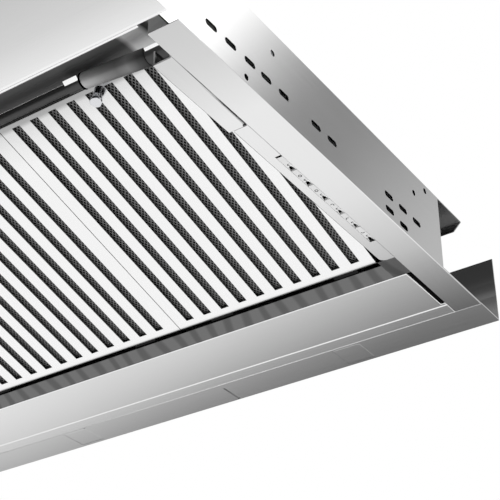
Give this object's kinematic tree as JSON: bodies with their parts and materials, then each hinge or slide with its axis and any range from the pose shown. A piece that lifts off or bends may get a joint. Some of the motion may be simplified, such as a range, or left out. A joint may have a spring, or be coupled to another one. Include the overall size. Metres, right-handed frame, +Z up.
{
  "type": "range hood insert",
  "caption": "Built-in range hood insert: steel frame, tilted slotted grease filters, hinged tray, side keys, twin-inlet blower, duct spigot.",
  "frame": {"origin": "middle of the frame's underside, halfway across and halfway from the front trim's edge to the wall face", "axes": "+X to the right along the frame, +Y from the cook's side to the wall, +Z up to the duct"},
  "size_m": [0.7264, 0.52, 0.3125],
  "materials": {
    "steel": "brushed",
    "dark_steel": "satin",
    "polished": "polished",
    "galvanised": "satin",
    "mesh_aluminium": "woven",
    "flap_aluminium": "satin",
    "black_plastic": "matt",
    "key_white": "gloss",
    "board": "matt",
    "lens": "frosted",
    "motor_paint": "satin"
  },
  "bodies": {
    "hood": {"front_trim": "steel", "right_trim": "steel", "left_trim": "steel", "cross_bar": "steel", "rear_filler": "steel", "filler_clips": "steel", "right_wall": "steel", "left_wall": "steel", "front_wall": "steel", "rear_wall": "steel", "top_panel": "galvanised", "rear_shelf": "steel", "air_guide": "galvanised", "front_rail": "dark_steel", "rail_collars": "dark_steel", "rail_sleeves": "dark_steel", "rail_ends": "polished", "drip_ledge": "steel", "control_cover": "steel", "control_fascia": "steel", "left_cover": "steel", "control_housing": "black_plastic", "control_board": "board", "blower_front": "galvanised", "blower_rear": "galvanised", "blower_sides": "galvanised", "blower_top": "galvanised", "scroll_housing": "galvanised", "inlet_rings": "black_plastic", "motor": "motor_paint", "motor_bracket": "galvanised", "duct_spigot": "galvanised", "damper_pin": "polished", "lamp_bodies": "black_plastic", "lamp_lenses": "lens", "junction_box": "galvanised", "cable_gland": "black_plastic", "case_screws": "polished"},
    "tray": {"grease_tray": "steel"},
    "blower_wheel": {"blower_wheel": "black_plastic"},
    "damper_front": {"damper_front": "flap_aluminium"},
    "damper_rear": {"damper_rear": "flap_aluminium"},
    "key_1": {"key_1": "key_white"},
    "key_2": {"key_2": "key_white"},
    "key_3": {"key_3": "key_white"},
    "key_4": {"key_4": "key_white"},
    "key_5": {"key_5": "key_white"},
    "key_6": {"key_6": "key_white"},
    "right_filter": {"right_filter_face": "steel", "right_filter_mesh": "mesh_aluminium", "right_filter_back": "steel"},
    "right_knob": {"right_filter_knob": "polished"},
    "middle_filter": {"middle_filter_face": "steel", "middle_filter_mesh": "mesh_aluminium", "middle_filter_back": "steel"},
    "middle_knob": {"middle_filter_knob": "polished"},
    "left_filter": {"left_filter_face": "steel", "left_filter_mesh": "mesh_aluminium", "left_filter_back": "steel"},
    "left_knob": {"left_filter_knob": "polished"}
  },
  "joints": [
    {"name": "tray_hinge", "type": "hinge", "parent": "hood", "child": "tray", "pos_m": [0, 0.2117, 0], "axis": [1, 0, 0], "range_deg": [0, 35]},
    {"name": "right_filter_hinge", "type": "hinge", "parent": "hood", "child": "right_filter", "pos_m": [0, 0.1266, 0.0003], "axis": [1, 0, 0], "range_deg": [0, 75]},
    {"name": "right_knob_turn", "type": "hinge", "parent": "right_filter", "child": "right_knob", "pos_m": [0.22795, -0.10286, 0.0635], "axis": [0, 0.2656, 0.9641], "range_deg": [0, 90]},
    {"name": "middle_filter_hinge", "type": "hinge", "parent": "hood", "child": "middle_filter", "pos_m": [0, 0.1266, 0.0003], "axis": [1, 0, 0], "range_deg": [0, 75]},
    {"name": "middle_knob_turn", "type": "hinge", "parent": "middle_filter", "child": "middle_knob", "pos_m": [0, -0.10286, 0.0635], "axis": [0, 0.2656, 0.9641], "range_deg": [0, 90]},
    {"name": "left_filter_hinge", "type": "hinge", "parent": "hood", "child": "left_filter", "pos_m": [0, 0.1266, 0.0003], "axis": [1, 0, 0], "range_deg": [0, 75]},
    {"name": "left_knob_turn", "type": "hinge", "parent": "left_filter", "child": "left_knob", "pos_m": [-0.22795, -0.10286, 0.0635], "axis": [0, 0.2656, 0.9641], "range_deg": [-90, 0]},
    {"name": "key_1_press", "type": "slide", "parent": "hood", "child": "key_1", "axis": [0, 0, 1], "range_m": [0, 0.0012], "stiffness_N_per_m": 300},
    {"name": "key_2_press", "type": "slide", "parent": "hood", "child": "key_2", "axis": [0, 0, 1], "range_m": [0, 0.0012], "stiffness_N_per_m": 300},
    {"name": "key_3_press", "type": "slide", "parent": "hood", "child": "key_3", "axis": [0, 0, 1], "range_m": [0, 0.0012], "stiffness_N_per_m": 300},
    {"name": "key_4_press", "type": "slide", "parent": "hood", "child": "key_4", "axis": [0, 0, 1], "range_m": [0, 0.0012], "stiffness_N_per_m": 300},
    {"name": "key_5_press", "type": "slide", "parent": "hood", "child": "key_5", "axis": [0, 0, 1], "range_m": [0, 0.0012], "stiffness_N_per_m": 300},
    {"name": "key_6_press", "type": "slide", "parent": "hood", "child": "key_6", "axis": [0, 0, 1], "range_m": [0, 0.0012], "stiffness_N_per_m": 300},
    {"name": "wheel_spin", "type": "hinge", "parent": "hood", "child": "blower_wheel", "pos_m": [0, -0.03908, 0.18055], "axis": [1, 0, 0], "continuous": true},
    {"name": "damper_front_hinge", "type": "hinge", "parent": "hood", "child": "damper_front", "pos_m": [0, 0.02927, 0.28155], "axis": [-1, 0, 0], "range_deg": [0, 75]},
    {"name": "damper_rear_hinge", "type": "hinge", "parent": "hood", "child": "damper_rear", "pos_m": [0, 0.02927, 0.28155], "axis": [1, 0, 0], "range_deg": [0, 75]}
  ]
}
